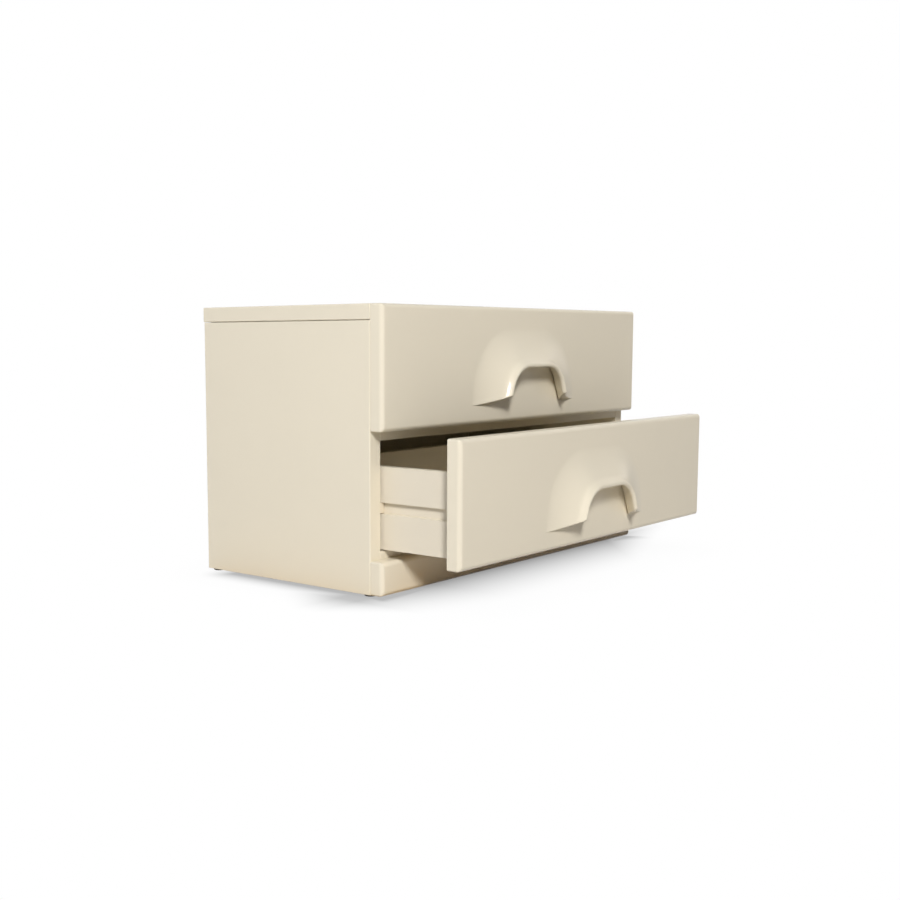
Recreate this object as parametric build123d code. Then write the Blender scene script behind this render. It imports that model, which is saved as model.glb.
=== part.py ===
"""Two-drawer chest with a lacquered carcass, overlay fronts and hood handles, in millimetres.

The pieces are drawn in a working frame: X = 0 at mid width, Y = 0 at the front plane of the carcass
with +Y towards the back, and Z = 0 at the underside of the side panels. The finished part stands on
Z = 0, with X = Y = 0 in the middle of its bounding box.
"""
import os
from math import cos, radians, sin, tan

from build123d import *

# Carcass
width = 800
body_depth = 375
body_height = 456
side_thickness = 25
top_thickness = 25
top_back_overhang = 2
bottom_thickness = 25
rail_thickness = 25
rail_depth = 60
back_thickness = 8
back_rebate_width = 10
back_fit = 0.3
board_rounding = 2

# Plinth board and drawer fronts
plinth_height = 54
front_thickness = 25
front_rounding = 7.5
front_corner_rounding = 2
front_gap = 3
front_overlap = 10
closing_gap = 0.4

# Drawer boxes and runners
lower_drawer_opening = 149
box_height = 132
box_side_gap = 6
box_clearance_below = 2.3
box_space_behind = 47
box_side_thickness = 15
box_front_thickness = 15
box_back_thickness = 15
floor_thickness = 6
floor_rise = 10
floor_groove_depth = 6
floor_fit = 0.25
runner_height = 17
runner_groove_depth = 7
runner_inset = 2
runner_space_behind = 10
slide_gap_above = 0.2
slide_gap_below = 0.8
slide_gap_beside = 0.6

# Glued tongue-and-groove joints
tongue_thickness = 8
tongue_length = 10
tongue_end_distance = 15
box_tongue_thickness = 7
box_tongue_length = 5
joint_fit = 0.1
joint_end_gap = 0.5

# Hood handle, with heights above the bottom edge of its drawer front
hood_reach = 32
hood_crown_half_width = 50
hood_shoulder_radius = 112
hood_height = 160
hood_lean = 6
wing_height = 31.5
wing_rise = 0.47
arch_crown_half_width = 31.6
arch_shoulder_radius = 50
arch_height = 93.2
arch_lean = 15
rim_width = 9
rim_rounding = 4
pocket_crown_half_width = 34
pocket_shoulder_radius = 64
pocket_height = 108
pocket_lean = 27
mouth_rounding = 3.5
mouth_steps = 2

# Glides
glide_radius = 10
glide_foot_radius = 9
glide_height = 4
glide_front_setback = 10
glide_back_setback = 15

# Sizes that follow from the ones above
half_width = width / 2
inner_half_width = half_width - side_thickness
side_middle = half_width - side_thickness / 2
side_height = body_height - top_thickness
front_height = (body_height - plinth_height - 2 * front_gap) / 2
drawer_pitch = front_height + front_gap
lower_front_level = plinth_height + front_gap
bottom_top_level = lower_front_level + front_overlap
rail_top_level = bottom_top_level + drawer_pitch
back_front_face = body_depth - back_thickness
box_half_width = inner_half_width - box_side_gap
box_inner_half_width = box_half_width - box_side_thickness
box_level = front_overlap + box_clearance_below
box_depth = back_front_face - box_space_behind
runner_groove_height = slide_gap_above + runner_height + slide_gap_below
runner_groove_level = box_level + (box_height - runner_groove_height) / 2
runner_level = runner_groove_level + slide_gap_below
runner_thickness = box_side_gap + runner_groove_depth - slide_gap_beside
floor_level = box_level + floor_rise


def block(x, y, z):
    """Box from the low to the high value on each axis."""
    size = [high - low for low, high in (x, y, z)]
    middle = [(low + high) / 2 for low, high in (x, y, z)]
    return Pos(*middle) * Box(*size)


def around(middle, thickness):
    """Low and high value of a thickness round its middle."""
    return (middle - thickness / 2, middle + thickness / 2)


def handed(shape, sign):
    """Shape drawn for the right side, as it is (sign 1) or mirrored for the left (sign -1)."""
    return shape if sign > 0 else mirror(shape, Plane.YZ)


def both_sides(shape):
    return [handed(shape, 1), handed(shape, -1)]


# Tongues of the glued joints on the right side, each as its ranges in X, Y and Z

top_tongue = (
    around(side_middle, tongue_thickness),
    (tongue_end_distance, body_depth - tongue_end_distance),
    around(side_height, 2 * tongue_length),
)
plinth_tongue = (
    around(side_middle, tongue_thickness),
    around(0, 2 * tongue_length),
    (tongue_end_distance, plinth_height - tongue_end_distance),
)
bottom_tongue = (
    around(inner_half_width, 2 * tongue_length),
    (tongue_end_distance, back_front_face - tongue_end_distance),
    around(bottom_top_level - bottom_thickness / 2, tongue_thickness),
)
rail_tongue = (
    around(inner_half_width, 2 * tongue_length),
    (tongue_end_distance, rail_depth - tongue_end_distance),
    around(rail_top_level - rail_thickness / 2, tongue_thickness),
)


def groove(tongue, direction):
    """Room for a tongue that points along the X, Y or Z direction."""
    ranges = []
    for axis, (low, high) in zip("XYZ", tongue):
        gap = joint_end_gap if axis == direction else joint_fit
        ranges.append((low - gap, high + gap))
    return block(*ranges)


# Carcass pieces

def top_panel():
    """Lies over the sides and stands a little proud of them at the back."""
    panel = block((-half_width, half_width), (0, body_depth + top_back_overhang), (side_height, body_height))
    not_at_front = [edge for edge in panel.edges() if edge.bounding_box().max.Y > board_rounding]
    return fillet(not_at_front, board_rounding) - both_sides(groove(top_tongue, "Z"))


def side_panel(sign):
    """Side with a rebate for the back panel along its inner back edge."""
    panel = block((inner_half_width, half_width), (0, body_depth), (0, side_height))
    panel = fillet(panel.edges().filter_by(Axis.Z).group_by(Axis.X)[-1], board_rounding)
    panel -= block(
        (inner_half_width, inner_half_width + back_rebate_width),
        (back_front_face, body_depth),
        (0, side_height),
    )
    panel += [block(*top_tongue), block(*plinth_tongue)]
    panel -= [groove(bottom_tongue, "X"), groove(rail_tongue, "X")]
    return handed(panel, sign)


def bottom_panel():
    levels = (bottom_top_level - bottom_thickness, bottom_top_level)
    panel = block((-inner_half_width, inner_half_width), (0, back_front_face), levels)
    return panel + both_sides(block(*bottom_tongue))


def divider_rail():
    levels = (rail_top_level - rail_thickness, rail_top_level)
    rail = block((-inner_half_width, inner_half_width), (0, rail_depth), levels)
    return rail + both_sides(block(*rail_tongue))


def back_panel():
    reach = inner_half_width + back_rebate_width - back_fit
    levels = (bottom_top_level - bottom_thickness, side_height)
    return block((-reach, reach), (back_front_face, body_depth), levels)


def front_board(height):
    """Full-width overlay board, with a large rounding round its front face."""
    board = block((-half_width, half_width), (-front_thickness, 0), (0, height))
    board = fillet(board.faces().sort_by(Axis.Y)[0].edges(), front_rounding)
    return fillet(board.edges().filter_by(Axis.Y), front_corner_rounding)


def plinth_board():
    return front_board(plinth_height) - both_sides(groove(plinth_tongue, "Y"))


def runner(sign, front_level):
    """Strip that the groove of a drawer side slides on."""
    strip = block(
        (inner_half_width - runner_thickness, inner_half_width),
        (runner_inset, back_front_face - runner_space_behind),
        (front_level + runner_level, front_level + runner_level + runner_height),
    )
    return handed(strip, sign)


def glides():
    """Round glides under the ends of the side panels, a little narrower where they meet the ground."""
    glide = Pos(0, 0, -glide_height / 2) * Cone(glide_foot_radius, glide_radius, glide_height)
    rows = (glide_front_setback, body_depth - glide_back_setback)
    return [Pos(x, y, 0) * glide for y in rows for x in (-side_middle, side_middle)]


# Hood handle

hood_base_level = wing_height / 2
face = -front_thickness


def hood_outline(crown, shoulder, height, lean, reach):
    """Flat crown, round shoulders and straight leaning legs, at a distance in front of the drawer front."""
    shoulder_level = height - shoulder
    leg_x = crown + shoulder * cos(radians(lean))
    leg_z = shoulder_level + shoulder * sin(radians(lean))
    foot_x = leg_x + (leg_z - hood_base_level) * tan(radians(lean))
    half_turn = radians((90 + lean) / 2)
    bend_x = crown + shoulder * cos(half_turn)
    bend_z = shoulder_level + shoulder * sin(half_turn)
    y = face - reach
    edges = [
        Line((-foot_x, y, hood_base_level), (foot_x, y, hood_base_level)),
        Line((foot_x, y, hood_base_level), (leg_x, y, leg_z)),
        ThreePointArc((leg_x, y, leg_z), (bend_x, y, bend_z), (crown, y, height)),
        Line((crown, y, height), (-crown, y, height)),
        ThreePointArc((-crown, y, height), (-bend_x, y, bend_z), (-leg_x, y, leg_z)),
        Line((-leg_x, y, leg_z), (-foot_x, y, hood_base_level)),
    ]
    return Face(Wire(edges))


def arch_at(widening, reach):
    """Outline of the finger opening, wider by the same distance all round."""
    return hood_outline(
        arch_crown_half_width,
        arch_shoulder_radius + widening,
        arch_height + widening,
        arch_lean,
        reach,
    )


def pocket():
    """Hollow for the fingers, wide at the drawer front and narrow at its rounded mouth."""
    sections = [
        hood_outline(pocket_crown_half_width, pocket_shoulder_radius, pocket_height, pocket_lean, 0)
    ]
    for step in range(mouth_steps + 1):
        turn = radians(90 * step / mouth_steps)
        widening = mouth_rounding * (1 - cos(turn))
        sections.append(arch_at(widening, hood_reach - mouth_rounding * (1 - sin(turn))))
    return loft(sections, ruled=True)


def below_wings():
    """Everything under the wings, whose lower edges are level and rise with the distance from the face."""
    behind = face + 1
    ahead = face - 2 * hood_reach
    profile = [
        (behind, 0),
        (behind, wing_height - wing_rise * (behind - face)),
        (ahead, wing_height + wing_rise * (face - ahead)),
        (ahead, 0),
    ]
    outline = make_face(Polyline(*[Vector(-half_width, y, z) for y, z in profile], close=True))
    return extrude(outline, width, dir=(1, 0, 0))


def handle():
    """Hood that rises out of the front, hollow behind its rim and open below for the fingers."""
    at_face = hood_outline(hood_crown_half_width, hood_shoulder_radius, hood_height, hood_lean, 0)
    hood = loft([at_face, arch_at(rim_width, hood_reach)], ruled=True)
    rim = hood.faces().sort_by(Axis.Y)[0].edges()
    hood = fillet(rim.filter_by(lambda edge: edge.center().Z > hood_base_level + 1), rim_rounding)
    return hood - pocket() - below_wings()


# Drawer pieces, drawn with Y = 0 at the back face of the front and Z = 0 at its bottom edge

box_levels = (box_level, box_level + box_height)


def box_tongue(middle):
    """Tongue at the right end of a cross board, round the middle of the board's thickness."""
    return (
        around(box_inner_half_width, 2 * box_tongue_length),
        around(middle, box_tongue_thickness),
        box_levels,
    )


def floor_panel(grown=0.0):
    """Floor of the box, or the room for it in the grooves that hold its edges."""
    reach = box_inner_half_width + floor_groove_depth - floor_fit + grown
    front_edge = box_front_thickness - floor_groove_depth + floor_fit - grown
    back_edge = box_depth - box_back_thickness + floor_groove_depth - floor_fit + grown
    levels = (floor_level, floor_level + floor_thickness + grown)
    return block((-reach, reach), (front_edge, back_edge), levels)


def box_cross_board(y_front, y_back):
    """Front or back board of the box, between its sides."""
    board = block((-box_inner_half_width, box_inner_half_width), (y_front, y_back), box_levels)
    board += both_sides(block(*box_tongue((y_front + y_back) / 2)))
    return board - floor_panel(floor_fit)


def box_side(sign):
    """Side of the box with the runner groove outside and the floor groove inside."""
    side = block((box_inner_half_width, box_half_width), (0, box_depth), box_levels)
    side -= block(
        (box_half_width - runner_groove_depth, box_half_width),
        (0, box_depth),
        (runner_groove_level, runner_groove_level + runner_groove_height),
    )
    for middle in (box_front_thickness / 2, box_depth - box_back_thickness / 2):
        side -= groove(box_tongue(middle), "X")
    return handed(side - floor_panel(floor_fit), sign)


def drawer_pieces():
    return {
        "front": front_board(front_height),
        "handle": handle(),
        "box_front": box_cross_board(0, box_front_thickness),
        "left_side": box_side(-1),
        "right_side": box_side(1),
        "box_back": box_cross_board(box_depth - box_back_thickness, box_depth),
        "floor": floor_panel(),
    }


def carcass_pieces():
    pieces = {
        "top_panel": top_panel(),
        "left_side_panel": side_panel(-1),
        "right_side_panel": side_panel(1),
        "bottom_panel": bottom_panel(),
        "divider_rail": divider_rail(),
        "back_panel": back_panel(),
        "plinth_board": plinth_board(),
        "glides": glides(),
    }
    for drawer, front_level in (("lower", lower_front_level), ("upper", lower_front_level + drawer_pitch)):
        pieces[f"{drawer}_left_runner"] = runner(-1, front_level)
        pieces[f"{drawer}_right_runner"] = runner(1, front_level)
    return pieces


def main():
    foremost = front_thickness + hood_reach + lower_drawer_opening
    rearmost = body_depth + top_back_overhang
    to_origin = Pos(0, (foremost - rearmost) / 2, glide_height)
    pieces = {name: (piece, Pos(0, 0, 0)) for name, piece in carcass_pieces().items()}
    drawer_places = {
        "lower": Pos(0, -lower_drawer_opening, lower_front_level),
        "upper": Pos(0, -closing_gap, lower_front_level + drawer_pitch),
    }
    for name, piece in drawer_pieces().items():
        for drawer, place in drawer_places.items():
            pieces[f"{drawer}_{name}"] = (piece, place)
    os.makedirs("parts", exist_ok=True)
    for name, (piece, place) in pieces.items():
        solids = piece if isinstance(piece, list) else [piece]
        placed = [to_origin * place * solid for solid in solids]
        export_step(placed[0] if len(placed) == 1 else Compound(children=placed), f"parts/{name}.step")


main()
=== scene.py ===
"""Visual model of the two-drawer chest: eased lacquered boards, moulded hood handles and screws.

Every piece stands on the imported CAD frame, in metres, with the drawers opening along -Y.
"""
from math import cos, hypot, pi, radians, sin, tan

import bmesh
import bpy
from mathutils import Matrix, Vector

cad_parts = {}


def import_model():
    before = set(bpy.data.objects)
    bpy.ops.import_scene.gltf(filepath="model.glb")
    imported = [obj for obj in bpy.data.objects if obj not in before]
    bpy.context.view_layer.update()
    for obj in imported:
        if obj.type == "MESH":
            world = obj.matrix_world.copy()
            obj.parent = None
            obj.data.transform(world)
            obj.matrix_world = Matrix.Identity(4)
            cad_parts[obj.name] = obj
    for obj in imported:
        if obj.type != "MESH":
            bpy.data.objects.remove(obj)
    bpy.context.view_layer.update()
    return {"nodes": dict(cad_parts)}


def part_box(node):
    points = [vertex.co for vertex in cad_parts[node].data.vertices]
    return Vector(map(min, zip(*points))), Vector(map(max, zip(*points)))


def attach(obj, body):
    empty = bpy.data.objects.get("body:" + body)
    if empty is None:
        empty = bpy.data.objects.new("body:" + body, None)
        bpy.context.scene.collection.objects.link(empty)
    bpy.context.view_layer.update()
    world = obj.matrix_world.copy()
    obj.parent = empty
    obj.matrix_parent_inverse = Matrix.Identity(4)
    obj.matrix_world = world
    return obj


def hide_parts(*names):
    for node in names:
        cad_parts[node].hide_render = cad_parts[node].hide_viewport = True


MM = 0.001
DRAWERS = ("lower", "upper")

# Lengths and turns that count as none, turns that stay crisp and turns that are eased
TOUCHING = 0.01 * MM
MERGE_DISTANCE = 0.001 * MM
FLAT_ANGLE = radians(0.5)
CRISP_ANGLE = radians(40)
ARRIS_ANGLE = radians(35)

# Roundings of the boards
BOARD_EASING = 1.2 * MM
THIN_EASING = 0.6 * MM
FRONT_ROUNDING = 7.5 * MM
FRONT_CORNER = 3 * MM
FRONT_BACK_EASING = 1.0 * MM
TOP_JOINT_GAP = 0.8 * MM

# Hood handle: outlines as half width of the crown, radius of the shoulders, height above the
# bottom edge of the front and lean of the legs
HOOD_AT_FACE = (50 * MM, 112 * MM, 160 * MM, radians(6))
ARCH_AT_RIM = (31.6 * MM, 50 * MM, 93.2 * MM, radians(19))
POCKET_AT_FACE = (34 * MM, 68 * MM, 112 * MM, radians(27))
HOOD_REACH = 32 * MM
BEAD_RADIUS = 4.5 * MM
BEAD_SLOPE = radians(53.5)
BEAD_STRAIGHT = 6.5 * MM
BEAD_FOOT_RADIUS = 20 * MM
FLANK_RUN = 60 * MM
FLANK_START = 0.35
FLANK_SOFTENING = 0.06
FLANK_END_SLOPE = radians(29)
POCKET_FLARE = radians(30)
POCKET_COVE = 0.5
WING_HEIGHT = 31.5 * MM
WING_RISE = 0.47
WING_EASING = 1.2 * MM
WING_EASING_SHARE = 0.3

# Glides: profile in shares of the radius and of the height, from the foot up
GLIDE_RADIUS = 10 * MM
GLIDE_SIDES = 32
GLIDE_PROFILE = ((0, 0), (0.55, 0.05), (0.82, 0.16), (0.95, 0.4), (1, 0.72), (1, 1), (0, 1))

# Divisions of the roundings and of the hood's skin
LEG_STEPS = 10
SHOULDER_STEPS = 28
CROWN_STEPS = 16
CURL_STEPS = 5
FLANK_STEPS = 26
FOOT_STEPS = 8
ROLL_STEPS = 12
POCKET_STEPS = 16
CORNER_STEPS = 6
ROUNDING_STEPS = 14
EASING_STEPS = 3

# Screws: head, cross recess and distances from the edges of what they hold
SCREW_HEAD = 3.8 * MM
SCREW_HEAD_SIDES = 28
SCREW_HEAD_DEPTH = 2 * MM
SCREW_PROUD = 0.25 * MM
SCREW_SEED = 7
RECESS_LENGTH = 4.4 * MM
RECESS_WIDTH = 1.0 * MM
RECESS_CUTTER = 1.6 * MM
BACK_SCREW_INSET = 5 * MM
BACK_SCREW_LOWEST = 40 * MM
BACK_SCREW_HIGHEST = 25 * MM
BACK_ROW_INSET = 130 * MM
BACK_ROW_LEVEL = 12.5 * MM
RUNNER_SCREW_INSET = 25 * MM
FRONT_SCREW_INSET = 65 * MM
FRONT_SCREW_LOWEST = 40 * MM
FRONT_SCREW_HIGHEST = 30 * MM

# Camera, solved from the straight edges in the photograph
CAMERA_PLACE = (-1.8377, -1.3006, 0.4026)
CAMERA_YAW = 0.87312
CAMERA_PITCH = 0.11789
CAMERA_ROLL = -0.00192
CAMERA_FOCAL_PIXELS = 1216.08
CAMERA_CENTRE_OFFSET = (-75.25, 34.84)
IMAGE_PIXELS = 900
SENSOR = 36.0

# Softboxes: degrees round to the left of the front, degrees above the floor, width, height,
# power, tint and whether gloss mirrors them. The last two light what the photograph hides.
SOFTBOXES = {
    "key": (47, 32, 0.7, 1.2, 238, (1.0, 0.995, 1.0), True),
    "left_fill": (60, 45, 3.3, 3.3, 25, (0.95, 1.0, 1.1), True),
    "side_fill": (120, 30, 3.3, 3.3, 42, (0.92, 1.0, 1.14), True),
    "right_fill": (-90, 20, 3.3, 3.3, 28, (1.15, 1.0, 0.8), True),
    "back_fill": (180, 8, 3.3, 3.3, 105, (1.0, 1.0, 1.0), False),
    "right_back_fill": (-125, 8, 3.3, 3.3, 110, (1.0, 1.0, 1.0), False),
}
LAMP_TARGET = (0.0, -0.05, 0.22)
LAMP_DISTANCE = 5.5
WORLD_STRENGTH = 0.01

# Floor: its tint in the open and in the shade, seen only in the light that it throws back,
# and how open to the sky it is where the two meet
FLOOR_HALF_SIZE = 14
FLOOR_TINT = (0.78, 0.75, 0.72, 1)
FLOOR_SHADE_TINT = (0.55, 0.36, 0.12, 1)
FLOOR_SHADED_BELOW = 0.5
FLOOR_OPEN_ABOVE = 0.8

# Shade on the floor, fitted to the photograph: reaches in metres, depths in shares of white.
# In front it fades away from a strip under the chest, sooner past the strip's slanting ends.
UNDER_SHADE_REACH = 0.12
UNDER_SHADE_DEPTH = 0.05
FRONT_SHADE_REACH = 0.19
FRONT_SHADE_DEPTH = 0.72
FRONT_SHADE_STRIP_HALF = 0.02
FRONT_SHADE_RIGHT_INSET = 0.06
FRONT_SHADE_RIGHT_SLANT = 1.1
FRONT_SHADE_LEFT_INSET = 0.15
FRONT_SHADE_LEFT_SLOPES = (0.4, 2.2)
FRONT_SHADE_END_WEIGHT = 0.6
SIDE_SHADE_REACH = 0.06
SIDE_SHADE_DEPTH = 0.5


def srgb(red, green, blue):
    """Scene colour of an 8-bit display colour."""
    def channel(value):
        value = value / 255
        return value / 12.92 if value <= 0.04045 else ((value + 0.055) / 1.055) ** 2.4
    return (channel(red), channel(green), channel(blue), 1.0)


# Materials

def node(tree, kind, place=(0, 0), **values):
    """New node with its properties and, by name, its inputs set."""
    made = tree.nodes.new(kind)
    made.location = place
    for name, value in values.items():
        if hasattr(made, name):
            setattr(made, name, value)
        else:
            made.inputs[name.replace("_", " ")].default_value = value
    return made


def feed(tree, value, socket):
    """Links a socket's value to another socket, or sets it to a plain value."""
    if isinstance(value, bpy.types.NodeSocket):
        tree.links.new(value, socket)
    else:
        socket.default_value = value


def calc(tree, operation, *values):
    """Output of a Math node fed with sockets or plain numbers."""
    made = node(tree, "ShaderNodeMath", operation=operation)
    for socket, value in zip(made.inputs, values):
        feed(tree, value, socket)
    return made.outputs[0]


def mixed_colour(tree, share, first, second):
    """Output of a Mix node that runs from one colour to another."""
    made = node(tree, "ShaderNodeMix", data_type="RGBA")
    for index, value in ((0, share), (6, first), (7, second)):
        feed(tree, value, made.inputs[index])
    return made.outputs[2]


def socketed_group(name, inputs, outputs):
    """Empty shader group with named inputs (kind, default) and outputs."""
    tree = bpy.data.node_groups.new(name, "ShaderNodeTree")
    for label, (kind, default) in inputs.items():
        socket = tree.interface.new_socket(label, in_out="INPUT", socket_type=kind)
        socket.default_value = default
    for label, kind in outputs.items():
        tree.interface.new_socket(label, in_out="OUTPUT", socket_type=kind)
    return tree, tree.nodes.new("NodeGroupInput"), tree.nodes.new("NodeGroupOutput")


def sprayed_coat_group():
    """Sprayed lacquer: faint clouds in the colour, uneven gloss and a fine orange peel."""
    tree, source, sink = socketed_group(
        "sprayed_coat",
        {
            "Colour": ("NodeSocketColor", (1, 1, 1, 1)),
            "Cloud": ("NodeSocketFloat", 0.03),
            "Roughness": ("NodeSocketFloat", 0.3),
            "Unevenness": ("NodeSocketFloat", 0.05),
            "Peel Size": ("NodeSocketFloat", 400.0),
        },
        {"Colour": "NodeSocketColor", "Roughness": "NodeSocketFloat", "Height": "NodeSocketFloat"},
    )
    link = tree.links.new
    place = node(tree, "ShaderNodeTexCoord")
    clouds = node(tree, "ShaderNodeTexNoise", Scale=9.0, Detail=3.0, Roughness=0.55)
    link(place.outputs["Object"], clouds.inputs["Vector"])
    shade = calc(tree, "MULTIPLY_ADD", clouds.outputs["Fac"], source.outputs["Cloud"], 1.0)
    tone = node(tree, "ShaderNodeVectorMath", operation="SCALE")
    link(source.outputs["Colour"], tone.inputs[0])
    link(shade, tone.inputs["Scale"])
    link(tone.outputs[0], sink.inputs["Colour"])
    smears = node(tree, "ShaderNodeTexNoise", Scale=38.0, Detail=4.0, Roughness=0.6)
    link(place.outputs["Object"], smears.inputs["Vector"])
    unevenness, roughness = source.outputs["Unevenness"], source.outputs["Roughness"]
    link(calc(tree, "MULTIPLY_ADD", smears.outputs["Fac"], unevenness, roughness), sink.inputs["Roughness"])
    peel = node(tree, "ShaderNodeTexNoise", Detail=2.0, Roughness=0.4)
    link(place.outputs["Object"], peel.inputs["Vector"])
    link(source.outputs["Peel Size"], peel.inputs["Scale"])
    link(peel.outputs["Fac"], sink.inputs["Height"])
    return tree


def wood_grain_group():
    """Straight grain along Y: streaks in the colour and fine pores in the height."""
    tree, source, sink = socketed_group(
        "straight_grain",
        {
            "Pale": ("NodeSocketColor", (1, 1, 1, 1)),
            "Dark": ("NodeSocketColor", (0.5, 0.4, 0.3, 1)),
            "Streak Scale": ("NodeSocketFloat", 260.0),
        },
        {"Colour": "NodeSocketColor", "Height": "NodeSocketFloat"},
    )
    link = tree.links.new
    place = node(tree, "ShaderNodeTexCoord")
    stretched = node(tree, "ShaderNodeMapping")
    stretched.inputs["Scale"].default_value = (1.0, 0.04, 1.0)
    link(place.outputs["Object"], stretched.inputs["Vector"])
    streaks = node(tree, "ShaderNodeTexNoise", Detail=5.0, Roughness=0.6)
    link(stretched.outputs["Vector"], streaks.inputs["Vector"])
    link(source.outputs["Streak Scale"], streaks.inputs["Scale"])
    tint = mixed_colour(tree, streaks.outputs["Fac"], source.outputs["Dark"], source.outputs["Pale"])
    link(tint, sink.inputs["Colour"])
    link(streaks.outputs["Fac"], sink.inputs["Height"])
    return tree


def shaded_material(name, **constants):
    """Material with a Principled shader whose constant sockets are set here."""
    material = bpy.data.materials.new(name)
    material.use_nodes = True
    shader = material.node_tree.nodes["Principled BSDF"]
    for socket, value in constants.items():
        shader.inputs[socket.replace("_", " ")].default_value = value
    return material, material.node_tree, shader


def bumped(tree, shader, height, distance):
    """Feeds a height to the shader as relief of that depth."""
    bump = node(tree, "ShaderNodeBump", (-200, -300), Strength=1.0, Distance=distance)
    tree.links.new(height, bump.inputs["Height"])
    tree.links.new(bump.outputs["Normal"], shader.inputs["Normal"])


def coated_material(name, coat, colour, cloud, roughness, unevenness, peel, peel_size, **constants):
    """Sprayed finish in its own colour and gloss."""
    material, tree, shader = shaded_material(name, **constants)
    finish = node(tree, "ShaderNodeGroup", (-500, 0), node_tree=coat)
    finish.inputs["Colour"].default_value = colour
    finish.inputs["Cloud"].default_value = cloud
    finish.inputs["Roughness"].default_value = roughness
    finish.inputs["Unevenness"].default_value = unevenness
    finish.inputs["Peel Size"].default_value = peel_size
    tree.links.new(finish.outputs["Colour"], shader.inputs["Base Color"])
    tree.links.new(finish.outputs["Roughness"], shader.inputs["Roughness"])
    bumped(tree, shader, finish.outputs["Height"], peel)
    return material


def waxed_wood_material(grain):
    """Pale hardwood of the runners."""
    material, tree, shader = shaded_material("waxed_runner_wood", Roughness=0.5, Coat_Weight=0.1)
    wood = node(tree, "ShaderNodeGroup", (-500, 0), node_tree=grain)
    wood.inputs["Pale"].default_value = srgb(232, 222, 202)
    wood.inputs["Dark"].default_value = srgb(220, 206, 180)
    tree.links.new(wood.outputs["Colour"], shader.inputs["Base Color"])
    bumped(tree, shader, wood.outputs["Height"], 0.08 * MM)
    return material


def steel_material():
    """Zinc-plated steel of the screw heads, with fine turning marks."""
    material, tree, shader = shaded_material("zinc_plated_steel", Metallic=1.0)
    place = node(tree, "ShaderNodeTexCoord", (-900, 0))
    marks = node(tree, "ShaderNodeTexNoise", (-700, 0), Scale=1400.0, Detail=3.0)
    tree.links.new(place.outputs["Object"], marks.inputs["Vector"])
    tint = mixed_colour(tree, marks.outputs["Fac"], srgb(150, 150, 152), srgb(205, 204, 200))
    tree.links.new(tint, shader.inputs["Base Color"])
    tree.links.new(calc(tree, "MULTIPLY_ADD", marks.outputs["Fac"], 0.2, 0.25), shader.inputs["Roughness"])
    return material


def make_materials():
    """All materials by the name of their slot."""
    coat = sprayed_coat_group()
    grain = wood_grain_group()
    return {
        "lacquer": coated_material(
            "cream_lacquer", coat, srgb(229, 220, 199), cloud=0.02, roughness=0.27, unevenness=0.06,
            peel=0.02 * MM, peel_size=420.0, Specular_IOR_Level=0.05, Coat_Weight=0.3, Coat_Roughness=0.12,
        ),
        "drawer_box": coated_material(
            "drawer_box_lacquer", coat, srgb(224, 215, 196), cloud=0.03, roughness=0.42, unevenness=0.1,
            peel=0.03 * MM, peel_size=600.0, Specular_IOR_Level=0.1,
        ),
        "back_board": coated_material(
            "back_board_paint", coat, srgb(222, 213, 192), cloud=0.06, roughness=0.6, unevenness=0.12,
            peel=0.06 * MM, peel_size=900.0,
        ),
        "glide": coated_material(
            "dark_glide_plastic", coat, srgb(52, 47, 42), cloud=0.2, roughness=0.5, unevenness=0.15,
            peel=0.03 * MM, peel_size=1500.0,
        ),
        "runner": waxed_wood_material(grain),
        "screw": steel_material(),
    }


# Pieces

def add_piece(name, mesh, body, material, replaced=()):
    """Object at the origin that rides on a body, in one material."""
    piece = bpy.data.objects.new(name, mesh)
    bpy.context.scene.collection.objects.link(piece)
    mesh.materials.clear()
    mesh.materials.append(material)
    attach(piece, body)
    if replaced:
        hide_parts(*replaced)
    return piece


def finish_mesh(bm, name):
    """Mesh of the built faces, smooth apart from its crisp edges."""
    bmesh.ops.recalc_face_normals(bm, faces=bm.faces)
    mesh = bpy.data.meshes.new(name)
    bm.to_mesh(mesh)
    bm.free()
    mesh.shade_smooth()
    mesh.set_sharp_from_angle(angle=CRISP_ANGLE)
    return mesh


def flatten_faces(piece):
    """Shading that keeps large flat faces flat and turns only on the roundings."""
    weighted = piece.modifiers.new("flat faces", "WEIGHTED_NORMAL")
    weighted.mode = "FACE_AREA"
    weighted.weight = 100
    weighted.keep_sharp = True


def open_top_joint(bm):
    """Lower a side panel's shoulder a little, so that its joint with the top shows as a fine dark line."""
    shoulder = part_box("top_panel")[0][2]
    for vertex in bm.verts:
        if abs(vertex.co.z - shoulder) < TOUCHING:
            vertex.co.z -= TOP_JOINT_GAP


def eased_board(frame, name, body, material, easing):
    """CAD board with its sharp arrises eased as sanding and lacquer leave them."""
    bm = bmesh.new()
    bm.from_mesh(frame["nodes"][name].data)
    bmesh.ops.remove_doubles(bm, verts=bm.verts, dist=MERGE_DISTANCE)
    bmesh.ops.dissolve_limit(bm, angle_limit=FLAT_ANGLE, verts=bm.verts, edges=bm.edges)
    if name.endswith("side_panel"):
        open_top_joint(bm)
    mesh = bpy.data.meshes.new(name + "_board")
    bm.to_mesh(mesh)
    bm.free()
    mesh.shade_smooth()
    piece = add_piece(name + "_board", mesh, body, material, (name,))
    bevel = piece.modifiers.new("eased arrises", "BEVEL")
    bevel.width = easing
    bevel.segments = EASING_STEPS
    bevel.limit_method = "ANGLE"
    bevel.angle_limit = ARRIS_ANGLE
    flatten_faces(piece)


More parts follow.
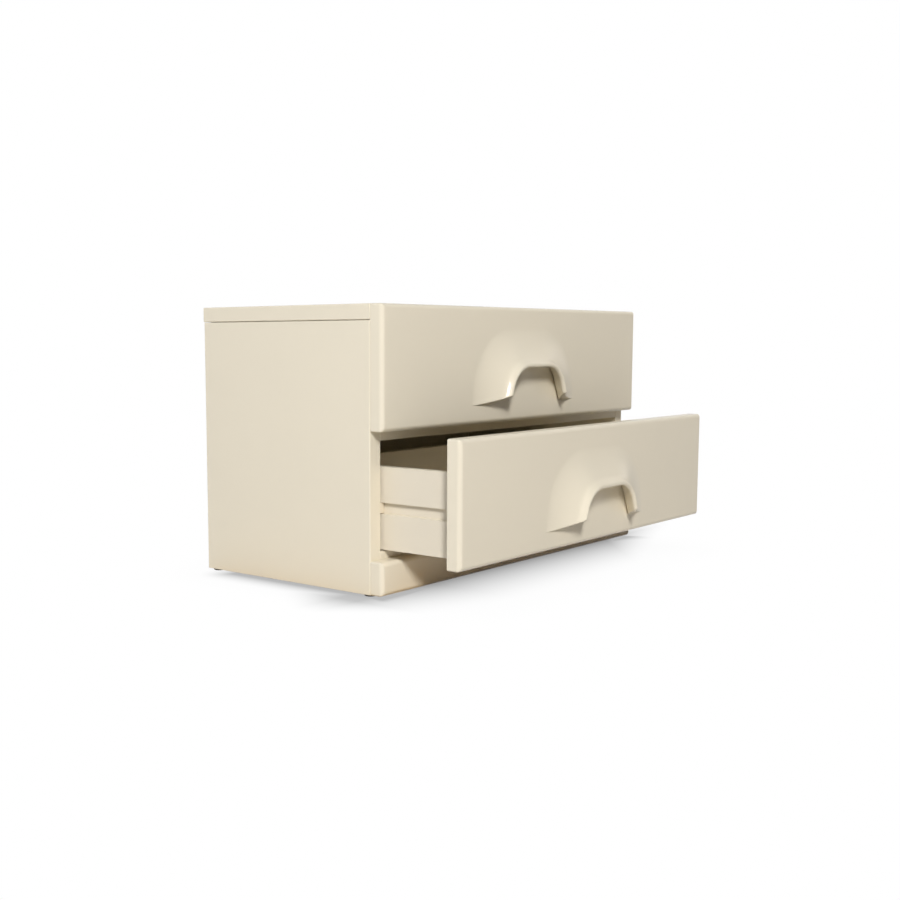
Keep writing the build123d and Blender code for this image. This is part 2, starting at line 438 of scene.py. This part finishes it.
def rounded_rectangle(low, high, inset, radius):
    """Points (x, z) round a rectangle drawn in by an inset, with rounded corners."""
    points = []
    right_top, left_top = (high.x, high.z, 1, 1), (low.x, high.z, -1, 1)
    left_bottom, right_bottom = (low.x, low.z, -1, -1), (high.x, low.z, 1, -1)
    for quarter, (x, z, side, end) in enumerate((right_top, left_top, left_bottom, right_bottom)):
        for step in range(CORNER_STEPS + 1):
            angle = pi / 2 * (quarter + step / CORNER_STEPS)
            points.append((
                x - side * (inset + radius) + radius * cos(angle),
                z - end * (inset + radius) + radius * sin(angle),
            ))
    return points


def front_mesh(name, low, high):
    """Board with a large rounding round its front face, lofted from the front face to the back."""
    rings = []
    for step in range(ROUNDING_STEPS + 1):
        angle = pi / 2 * step / ROUNDING_STEPS
        rings.append((FRONT_ROUNDING * (1 - sin(angle)), low.y + FRONT_ROUNDING * (1 - cos(angle))))
    for step in range(EASING_STEPS + 1):
        angle = pi / 2 * step / EASING_STEPS
        rings.append((FRONT_BACK_EASING * (1 - cos(angle)), high.y - FRONT_BACK_EASING * (1 - sin(angle))))
    bm = bmesh.new()
    grid = []
    for inset, y in rings:
        outline = rounded_rectangle(low, high, inset, FRONT_CORNER)
        grid.append([bm.verts.new((x, y, z)) for x, z in outline])
    for row, following in zip(grid, grid[1:]):
        for index in range(len(row)):
            bm.faces.new((row[index - 1], row[index], following[index], following[index - 1]))
    bm.faces.new(grid[0])
    bm.faces.new(grid[-1])
    return finish_mesh(bm, name)


def front_board(name, body, material, node_name):
    """Front or plinth board in place of its CAD node."""
    low, high = (Vector(corner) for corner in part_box(node_name))
    piece = add_piece(name, front_mesh(name, low, high), body, material, (node_name,))
    flatten_faces(piece)


# Hood handle, in the plane of the front: x from its middle, z above the bottom edge of the front

def hood_outline(sizes, foot_z):
    """Right leg, shoulder, crown, shoulder and left leg, as points with their outward directions.

    The legs end at the level foot_z.
    """
    crown, shoulder, height, lean = sizes
    centre_z = height - shoulder
    leg_x = crown + shoulder * cos(lean)
    leg_z = centre_z + shoulder * sin(lean)
    half = []
    for step in range(LEG_STEPS):
        down = (leg_z - foot_z) / cos(lean) * (1 - step / LEG_STEPS)
        half.append((leg_x + down * sin(lean), leg_z - down * cos(lean), cos(lean), sin(lean)))
    for step in range(SHOULDER_STEPS + 1):
        turn = lean + (pi / 2 - lean) * step / SHOULDER_STEPS
        half.append((crown + shoulder * cos(turn), centre_z + shoulder * sin(turn), cos(turn), sin(turn)))
    across = [(crown * (1 - 2 * step / CROWN_STEPS), height, 0.0, 1.0) for step in range(1, CROWN_STEPS)]
    return half + across + [(-x, z, -nx, nz) for x, z, nx, nz in reversed(half)]


def arch_sizes(widening):
    """Sizes of the outline that far outside the arch."""
    crown, shoulder, height, lean = ARCH_AT_RIM
    return (crown, shoulder + widening, height + widening, lean)


def between(start, end, share):
    """Sizes that share of the way from one outline to another."""
    return [low + (high - low) * share for low, high in zip(start, end)]


def softened(share, softening):
    """Share from 0 to 1 that starts level and grows even."""
    return (hypot(share, softening) - softening) / (hypot(1, softening) - softening)


def hood_profile():
    """Rings from the face up the flank, round the bead and down the pocket to the face again.

    Each ring is (sizes of its outline, distance outside the arch, distance in front of the face).
    """
    bead_out = BEAD_RADIUS * (1 + sin(BEAD_SLOPE))
    bead_depth = HOOD_REACH - BEAD_RADIUS * (1 - cos(BEAD_SLOPE))
    straight_out = bead_out + BEAD_STRAIGHT * cos(BEAD_SLOPE)
    straight_depth = bead_depth - BEAD_STRAIGHT * sin(BEAD_SLOPE)
    foot_out = straight_out + BEAD_FOOT_RADIUS * (sin(BEAD_SLOPE) - sin(FLANK_END_SLOPE))
    foot_depth = straight_depth - BEAD_FOOT_RADIUS * (cos(FLANK_END_SLOPE) - cos(BEAD_SLOPE))
    rings = []
    for step in range(FLANK_STEPS):
        share = step / FLANK_STEPS
        rise = FLANK_START * softened(share, FLANK_SOFTENING) + (1 - FLANK_START) * share**2
        sizes = between(HOOD_AT_FACE, arch_sizes(foot_out), share)
        rings.append((sizes, foot_out + (1 - share) * FLANK_RUN, foot_depth * rise))
    for step in range(FOOT_STEPS + 1):
        angle = FLANK_END_SLOPE + (BEAD_SLOPE - FLANK_END_SLOPE) * step / FOOT_STEPS
        out = foot_out - BEAD_FOOT_RADIUS * (sin(angle) - sin(FLANK_END_SLOPE))
        depth = foot_depth + BEAD_FOOT_RADIUS * (cos(FLANK_END_SLOPE) - cos(angle))
        rings.append((arch_sizes(out), out, depth))
    for step in range(ROLL_STEPS + 1):
        angle = BEAD_SLOPE - (BEAD_SLOPE + pi / 2 + POCKET_FLARE) * step / ROLL_STEPS
        out = BEAD_RADIUS * (1 + sin(angle))
        rings.append((arch_sizes(out), out, HOOD_REACH - BEAD_RADIUS * (1 - cos(angle))))
    last_sizes, last_out, last_depth = rings[-1]
    run = last_depth * tan(POCKET_FLARE)
    for step in range(1, POCKET_STEPS + 1):
        share = step / POCKET_STEPS
        sizes = between(last_sizes, POCKET_AT_FACE, share)
        rings.append((sizes, last_out + run * share, last_depth * softened(1 - share, POCKET_COVE)))
    return rings


def hood_ring(ring, inward, easing):
    """Points (x, z, depth) of one ring, from the right wing's underside round to the left one's."""
    sizes, _, depth = ring
    foot_z = WING_HEIGHT + WING_RISE * depth
    x, _, normal_x, normal_z = hood_outline(sizes, foot_z)[0]
    curl = []
    for step in range(CURL_STEPS):
        angle = pi / 2 * step / CURL_STEPS
        sunk = easing * (1 - sin(angle))
        raised = easing * (1 - cos(angle))
        curl.append((
            x + inward[0] * sunk - raised * normal_z / normal_x,
            foot_z + WING_RISE * inward[1] * sunk + raised,
            depth + inward[1] * sunk,
        ))
    outer = [(point[0], point[1], depth) for point in hood_outline(sizes, foot_z + easing)]
    return curl + outer + [(-point[0], point[1], point[2]) for point in reversed(curl)]


def hood_mesh(name, middle_x, face_y, bottom_z):
    """Closed skin of the hood, with the wings' lower edges eased."""
    rings = hood_profile()
    bm = bmesh.new()
    grid = []
    for index, ring in enumerate(rings):
        before, after = rings[max(index - 1, 0)], rings[min(index + 1, len(rings) - 1)]
        out, deep = after[1] - before[1], after[2] - before[2]
        inward = (-deep / hypot(out, deep), out / hypot(out, deep))
        easing = min(WING_EASING, WING_EASING_SHARE * ring[2])
        points = hood_ring(ring, inward, easing)
        uneased = easing < TOUCHING
        if uneased:
            points = points[CURL_STEPS:-CURL_STEPS]
        row = [bm.verts.new((middle_x + x, face_y - depth, bottom_z + z)) for x, z, depth in points]
        if uneased:
            row = [row[0]] * CURL_STEPS + row + [row[-1]] * CURL_STEPS
        grid.append(row)
    for row, following in zip(grid, grid[1:] + grid[:1]):
        for corners_here, corners_next in zip(zip(row, row[1:]), zip(following, following[1:])):
            corners = list(dict.fromkeys(corners_here + corners_next[::-1]))
            if len(corners) > 2:
                bm.faces.new(corners)
    for end in (0, -1):
        bm.faces.new([row[end] for row in grid])
    return finish_mesh(bm, name)


def hood_handle(name, body, material, node_name, front_node):
    """Hood in place of its CAD node, set out from the CAD box of its front."""
    low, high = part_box(front_node)
    mesh = hood_mesh(name, (low[0] + high[0]) / 2, low[1], low[2])
    add_piece(name, mesh, body, material, (node_name,))


def glide_mesh(name, low, high, places):
    """Nail-on glides with a domed foot, one at each place."""
    height = high[2] - low[2]
    turns = [2 * pi * side / GLIDE_SIDES for side in range(GLIDE_SIDES)]
    bm = bmesh.new()
    for x, y in places:
        rings = []
        for radius_share, height_share in GLIDE_PROFILE:
            radius, z = GLIDE_RADIUS * radius_share, low[2] + height * height_share
            rings.append([
                bm.verts.new((x + radius * cos(turn), y + radius * sin(turn), z))
                for turn in (turns if radius else turns[:1])
            ])
        for lower, upper in zip(rings, rings[1:]):
            for here in range(GLIDE_SIDES):
                after = here + 1
                corners = [lower[here % len(lower)], lower[after % len(lower)],
                           upper[after % len(upper)], upper[here % len(upper)]]
                bm.faces.new(list(dict.fromkeys(corners)))
    return finish_mesh(bm, name)


# Screws, made by Geometry Nodes

def screw_row_tree():
    """Row of countersunk heads with cross recesses between two points."""
    tree = bpy.data.node_groups.new("screw_row", "GeometryNodeTree")
    sockets = {
        "Start": ("NodeSocketVector", (0, 0, 0)),
        "End": ("NodeSocketVector", (0, 0, 0.1)),
        "Facing": ("NodeSocketRotation", (0, 0, 0)),
        "Count": ("NodeSocketInt", 2),
        "Head Radius": ("NodeSocketFloat", SCREW_HEAD),
        "Recess Length": ("NodeSocketFloat", RECESS_LENGTH),
        "Recess Width": ("NodeSocketFloat", RECESS_WIDTH),
        "Proud": ("NodeSocketFloat", SCREW_PROUD),
        "Material": ("NodeSocketMaterial", None),
    }
    for label, (kind, default) in sockets.items():
        socket = tree.interface.new_socket(label, in_out="INPUT", socket_type=kind)
        if default is not None:
            socket.default_value = default
    tree.interface.new_socket("Geometry", in_out="OUTPUT", socket_type="NodeSocketGeometry")
    link = tree.links.new
    source = tree.nodes.new("NodeGroupInput")
    head = node(tree, "GeometryNodeMeshCylinder", Vertices=SCREW_HEAD_SIDES, Depth=SCREW_HEAD_DEPTH)
    link(source.outputs["Head Radius"], head.inputs["Radius"])
    bars = []
    for long_axis in (0, 1):
        size = node(tree, "ShaderNodeCombineXYZ")
        link(source.outputs["Recess Length"], size.inputs[long_axis])
        link(source.outputs["Recess Width"], size.inputs[1 - long_axis])
        size.inputs[2].default_value = RECESS_CUTTER
        bar = node(tree, "GeometryNodeMeshCube")
        link(size.outputs[0], bar.inputs["Size"])
        raised = node(tree, "GeometryNodeTransform")
        raised.inputs["Translation"].default_value = (0, 0, SCREW_HEAD_DEPTH / 2)
        link(bar.outputs["Mesh"], raised.inputs["Geometry"])
        bars.append(raised)
    cut = node(tree, "GeometryNodeMeshBoolean", operation="DIFFERENCE")
    link(head.outputs["Mesh"], cut.inputs[0])
    for bar in bars:
        link(bar.outputs["Geometry"], cut.inputs[1])
    sunk = node(tree, "GeometryNodeTransform")
    offset = node(tree, "ShaderNodeCombineXYZ")
    link(calc(tree, "SUBTRACT", source.outputs["Proud"], SCREW_HEAD_DEPTH / 2), offset.inputs[2])
    link(offset.outputs[0], sunk.inputs["Translation"])
    link(cut.outputs["Mesh"], sunk.inputs["Geometry"])
    row = node(tree, "GeometryNodeMeshLine", mode="END_POINTS")
    link(source.outputs["Count"], row.inputs["Count"])
    link(source.outputs["Start"], row.inputs["Start Location"])
    link(source.outputs["End"], row.inputs["Offset"])
    placed = node(tree, "GeometryNodeInstanceOnPoints")
    link(row.outputs["Mesh"], placed.inputs["Points"])
    link(sunk.outputs["Geometry"], placed.inputs["Instance"])
    link(source.outputs["Facing"], placed.inputs["Rotation"])
    spun = node(tree, "GeometryNodeRotateInstances")
    angle = node(tree, "FunctionNodeRandomValue", data_type="FLOAT")
    angle.inputs[2].default_value = 0.0
    angle.inputs[3].default_value = pi / 2
    angle.inputs["Seed"].default_value = SCREW_SEED
    turn = node(tree, "ShaderNodeCombineXYZ")
    link(angle.outputs[1], turn.inputs[2])
    link(turn.outputs[0], spun.inputs["Rotation"])
    spun.inputs["Local Space"].default_value = True
    link(placed.outputs["Instances"], spun.inputs["Instances"])
    real = node(tree, "GeometryNodeRealizeInstances")
    link(spun.outputs["Instances"], real.inputs["Geometry"])
    painted = node(tree, "GeometryNodeSetMaterial")
    link(real.outputs["Geometry"], painted.inputs["Geometry"])
    link(source.outputs["Material"], painted.inputs["Material"])
    sink = tree.nodes.new("NodeGroupOutput")
    link(painted.outputs["Geometry"], sink.inputs["Geometry"])
    return tree


def set_input(modifier, label, value):
    """Sets a Geometry Nodes input by the identifier of its socket."""
    socket = modifier.node_group.interface.items_tree[label]
    modifier[socket.identifier] = value


def screw_rows(tree, name, body, material, rows):
    """Rows of screws (start, end, facing, count) joined into one plain mesh."""
    holder = bpy.data.objects.new(name + "_rows", bpy.data.meshes.new(name + "_rows"))
    bpy.context.scene.collection.objects.link(holder)
    bm = bmesh.new()
    for start, end, facing, count in rows:
        modifier = holder.modifiers.new("row", "NODES")
        modifier.node_group = tree
        set_input(modifier, "Start", start)
        set_input(modifier, "End", end)
        set_input(modifier, "Facing", facing)
        set_input(modifier, "Count", count)
        set_input(modifier, "Material", material)
        holder.update_tag()
        evaluated = holder.evaluated_get(bpy.context.evaluated_depsgraph_get())
        row_mesh = bpy.data.meshes.new_from_object(evaluated)
        bm.from_mesh(row_mesh)
        holder.modifiers.remove(modifier)
        bpy.data.meshes.remove(row_mesh)
    bpy.data.objects.remove(holder)
    mesh = bpy.data.meshes.new(name)
    bm.to_mesh(mesh)
    bm.free()
    add_piece(name, mesh, body, material)


def add_screws(materials):
    """Screws that fix the back panel, the runners and the drawer fronts."""
    tree = screw_row_tree()
    steel = materials["screw"]
    back_low, back_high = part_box("back_panel")
    y = back_high[1]
    away = (-pi / 2, 0, 0)
    rows = []
    for x in (back_low[0] + BACK_SCREW_INSET, back_high[0] - BACK_SCREW_INSET):
        lowest, highest = back_low[2] + BACK_SCREW_LOWEST, back_high[2] - BACK_SCREW_HIGHEST
        rows.append(((x, y, lowest), (x, y, highest), away, 4))
    z = back_low[2] + BACK_ROW_LEVEL
    rows.append(((back_low[0] + BACK_ROW_INSET, y, z), (back_high[0] - BACK_ROW_INSET, y, z), away, 4))
    for drawer in DRAWERS:
        for side, facing in (("left", (0, pi / 2, 0)), ("right", (0, -pi / 2, 0))):
            low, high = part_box(f"{drawer}_{side}_runner")
            x = high[0] if side == "left" else low[0]
            z = (low[2] + high[2]) / 2
            start, end = low[1] + RUNNER_SCREW_INSET, high[1] - RUNNER_SCREW_INSET
            rows.append(((x, start, z), (x, end, z), facing, 3))
    screw_rows(tree, "carcass_screws", "carcass", steel, rows)
    for drawer in DRAWERS:
        low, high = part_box(f"{drawer}_box_front")
        start, end, y = low[0] + FRONT_SCREW_INSET, high[0] - FRONT_SCREW_INSET, high[1]
        rows = []
        for z in (low[2] + FRONT_SCREW_LOWEST, high[2] - FRONT_SCREW_HIGHEST):
            rows.append(((start, y, z), (end, y, z), away, 4))
        screw_rows(tree, f"{drawer}_front_screws", f"{drawer}_drawer", steel, rows)


def add_carcass(frame, materials):
    """Everything that stands still, apart from its screws."""
    easings = {
        "top_panel": BOARD_EASING,
        "left_side_panel": THIN_EASING,
        "right_side_panel": THIN_EASING,
        "bottom_panel": BOARD_EASING,
        "divider_rail": BOARD_EASING,
    }
    for name, easing in easings.items():
        eased_board(frame, name, "carcass", materials["lacquer"], easing)
    eased_board(frame, "back_panel", "carcass", materials["back_board"], THIN_EASING)
    for drawer in DRAWERS:
        for side in ("left", "right"):
            name = f"{drawer}_{side}_runner"
            eased_board(frame, name, "carcass", materials["runner"], BOARD_EASING)
    front_board("plinth_front", "carcass", materials["lacquer"], "plinth_board")
    low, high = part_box("glides")
    columns = (low[0] + GLIDE_RADIUS, high[0] - GLIDE_RADIUS)
    rows = (low[1] + GLIDE_RADIUS, high[1] - GLIDE_RADIUS)
    places = [(x, y) for x in columns for y in rows]
    glides = glide_mesh("nail_on_glides", low, high, places)
    add_piece("nail_on_glides", glides, "carcass", materials["glide"], ("glides",))


def add_drawer(frame, drawer, materials):
    """One drawer: its front, its hood and its box."""
    body = f"{drawer}_drawer"
    front_board(f"{drawer}_drawer_front", body, materials["lacquer"], f"{drawer}_front")
    hood_handle(f"{drawer}_hood", body, materials["lacquer"], f"{drawer}_handle", f"{drawer}_front")
    for part in ("box_front", "box_back", "left_side", "right_side"):
        eased_board(frame, f"{drawer}_{part}", body, materials["drawer_box"], BOARD_EASING)
    eased_board(frame, f"{drawer}_floor", body, materials["drawer_box"], THIN_EASING)


# Studio

def add_camera():
    """Camera at the photograph's viewpoint, with its off-centre framing as a lens shift."""
    forward = Vector((
        sin(CAMERA_YAW) * cos(CAMERA_PITCH), cos(CAMERA_YAW) * cos(CAMERA_PITCH), -sin(CAMERA_PITCH)
    ))
    right = Vector((cos(CAMERA_YAW), -sin(CAMERA_YAW), 0))
    up = right.cross(forward)
    rolled_right = cos(CAMERA_ROLL) * right + sin(CAMERA_ROLL) * up
    rolled_up = -sin(CAMERA_ROLL) * right + cos(CAMERA_ROLL) * up
    turn = Matrix((rolled_right, rolled_up, -forward)).transposed()
    data = bpy.data.cameras.new("photo_camera")
    data.sensor_width = SENSOR
    data.lens = CAMERA_FOCAL_PIXELS / IMAGE_PIXELS * SENSOR
    data.shift_x = -CAMERA_CENTRE_OFFSET[0] / IMAGE_PIXELS
    data.shift_y = CAMERA_CENTRE_OFFSET[1] / IMAGE_PIXELS
    camera = bpy.data.objects.new("photo_camera", data)
    camera.matrix_world = Matrix.Translation(CAMERA_PLACE) @ turn.to_4x4()
    bpy.context.scene.collection.objects.link(camera)
    bpy.context.scene.camera = camera


def add_softbox(name, round_left, above_floor, width, height, power, tint, mirrored):
    """Softbox aimed at the chest from that many degrees round and above."""
    data = bpy.data.lights.new(name, "AREA")
    data.shape = "RECTANGLE"
    data.size = width
    data.size_y = height
    data.energy = power
    data.color = tint
    around, above = radians(round_left), radians(above_floor)
    direction = Vector((-sin(around) * cos(above), -cos(around) * cos(above), sin(above)))
    lamp = bpy.data.objects.new(name, data)
    lamp.location = Vector(LAMP_TARGET) + direction * LAMP_DISTANCE
    lamp.rotation_euler = (-direction).to_track_quat("-Z", "Y").to_euler()
    lamp.visible_glossy = mirrored
    bpy.context.scene.collection.objects.link(lamp)


def seen_directly(tree):
    """1 where the surroundings are seen, straight or in gloss or glass, and 0 for the light they throw."""
    path = node(tree, "ShaderNodeLightPath", (-900, 700))
    mirrored = calc(tree, "MAXIMUM", path.outputs["Is Glossy Ray"], path.outputs["Is Transmission Ray"])
    return calc(tree, "MAXIMUM", path.outputs["Is Camera Ray"], mirrored)


def add_world():
    """Faint even fill, seen as pure white behind the chest."""
    world = bpy.data.worlds.new("studio")
    bpy.context.scene.world = world
    world.use_nodes = True
    tree = world.node_tree
    fill = tree.nodes["Background"]
    fill.inputs["Color"].default_value = (1, 1, 1, 1)
    fill.inputs["Strength"].default_value = WORLD_STRENGTH
    white = node(tree, "ShaderNodeBackground", (0, 200), Color=(1, 1, 1, 1), Strength=1.0)
    mix = node(tree, "ShaderNodeMixShader", (200, 100))
    tree.links.new(seen_directly(tree), mix.inputs[0])
    tree.links.new(fill.outputs[0], mix.inputs[1])
    tree.links.new(white.outputs[0], mix.inputs[2])
    tree.links.new(mix.outputs[0], tree.nodes["World Output"].inputs["Surface"])


def faded(tree, distance, reach, depth):
    """Shade that falls off with the square of what is left of its reach."""
    left = calc(tree, "SUBTRACT", 1.0, calc(tree, "MINIMUM", calc(tree, "DIVIDE", distance, reach), 1.0))
    return calc(tree, "MULTIPLY", calc(tree, "MULTIPLY", left, left), depth)


def beyond(tree, distance, limit):
    """How far a distance goes past a limit, or 0."""
    return calc(tree, "MAXIMUM", calc(tree, "SUBTRACT", distance, limit), 0.0)


def front_shade(tree, x, y, half_width, strip_y):
    """Long shade ahead of the strip behind the plinth, shorter past the strip's ends."""
    from_strip = calc(tree, "ABSOLUTE", calc(tree, "SUBTRACT", strip_y, y))
    ahead = beyond(tree, from_strip, FRONT_SHADE_STRIP_HALF)
    slanted = calc(tree, "MULTIPLY_ADD", ahead, FRONT_SHADE_RIGHT_SLANT, x)
    past_right = calc(tree, "SUBTRACT", slanted, half_width - FRONT_SHADE_RIGHT_INSET)
    gentle, steep = FRONT_SHADE_LEFT_SLOPES
    past_left = calc(
        tree, "MAXIMUM",
        calc(tree, "MULTIPLY_ADD", x, -gentle, -gentle * (half_width - FRONT_SHADE_LEFT_INSET)),
        calc(tree, "MULTIPLY_ADD", x, -steep, -steep * half_width),
    )
    past_end = calc(tree, "MAXIMUM", calc(tree, "MAXIMUM", past_right, past_left), 0.0)
    distance = calc(tree, "MULTIPLY_ADD", past_end, FRONT_SHADE_END_WEIGHT, ahead)
    return faded(tree, distance, FRONT_SHADE_REACH, FRONT_SHADE_DEPTH)


def side_shade(tree, x, y, half_width, front, back):
    """Narrow shade round the rectangle that the chest covers."""
    beside = beyond(tree, calc(tree, "ABSOLUTE", x), half_width)
    from_middle = calc(tree, "ABSOLUTE", calc(tree, "SUBTRACT", y, (front + back) / 2))
    past = beyond(tree, from_middle, (back - front) / 2)
    squares = calc(tree, "ADD", calc(tree, "POWER", beside, 2.0), calc(tree, "POWER", past, 2.0))
    return faded(tree, calc(tree, "POWER", squares, 0.5), SIDE_SHADE_REACH, SIDE_SHADE_DEPTH)


def contact_shade(tree):
    """Soft shade on the floor, long in front of the plinth and short beside the side panels."""
    (_, front, _), (_, plinth_back, _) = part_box("plinth_board")
    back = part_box("back_panel")[1][1] - SIDE_SHADE_REACH
    half_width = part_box("right_side_panel")[1][0]
    place = node(tree, "ShaderNodeTexCoord")
    split = node(tree, "ShaderNodeSeparateXYZ")
    tree.links.new(place.outputs["Object"], split.inputs[0])
    x, y = split.outputs["X"], split.outputs["Y"]
    ahead = front_shade(tree, x, y, half_width, plinth_back + FRONT_SHADE_STRIP_HALF)
    return calc(tree, "MAXIMUM", ahead, side_shade(tree, x, y, half_width, front, back))


def add_floor():
    """White floor, darker where the chest shades it, whose shade throws a warm light back."""
    mesh = bpy.data.meshes.new("studio_floor")
    bm = bmesh.new()
    bmesh.ops.create_grid(bm, x_segments=1, y_segments=1, size=FLOOR_HALF_SIZE)
    bm.to_mesh(mesh)
    bm.free()
    floor = bpy.data.objects.new("studio_floor", mesh)
    bpy.context.scene.collection.objects.link(floor)
    material, tree, shader = shaded_material("studio_floor", Roughness=0.7, Specular_IOR_Level=0.2)
    under = node(tree, "ShaderNodeAmbientOcclusion", (-900, 0), samples=16)
    under.inputs["Distance"].default_value = UNDER_SHADE_REACH
    open_floor = node(tree, "ShaderNodeMapRange", (-600, 100), clamp=True)
    open_floor.inputs["From Min"].default_value = FLOOR_SHADED_BELOW
    open_floor.inputs["From Max"].default_value = FLOOR_OPEN_ABOVE
    white = node(tree, "ShaderNodeEmission", (0, 300), Color=(1, 1, 1, 1))
    mix = node(tree, "ShaderNodeMixShader", (300, 200))
    link = tree.links.new
    link(under.outputs["AO"], open_floor.inputs["Value"])
    tint = mixed_colour(tree, open_floor.outputs["Result"], FLOOR_SHADE_TINT, FLOOR_TINT)
    link(tint, shader.inputs["Base Color"])
    lit_around = calc(tree, "SUBTRACT", 1.0, contact_shade(tree))
    lit_under = calc(tree, "MULTIPLY_ADD", under.outputs["AO"], UNDER_SHADE_DEPTH, 1 - UNDER_SHADE_DEPTH)
    link(calc(tree, "MULTIPLY", lit_around, lit_under), white.inputs["Strength"])
    link(seen_directly(tree), mix.inputs[0])
    link(shader.outputs[0], mix.inputs[1])
    link(white.outputs[0], mix.inputs[2])
    link(mix.outputs[0], tree.nodes["Material Output"].inputs["Surface"])
    mesh.materials.append(material)


def main():
    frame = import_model()
    materials = make_materials()
    add_carcass(frame, materials)
    for drawer in DRAWERS:
        add_drawer(frame, drawer, materials)
    add_screws(materials)
    add_camera()
    for name, settings in SOFTBOXES.items():
        add_softbox(name, *settings)
    add_world()
    add_floor()
    bpy.context.scene.view_settings.view_transform = "Standard"


main()
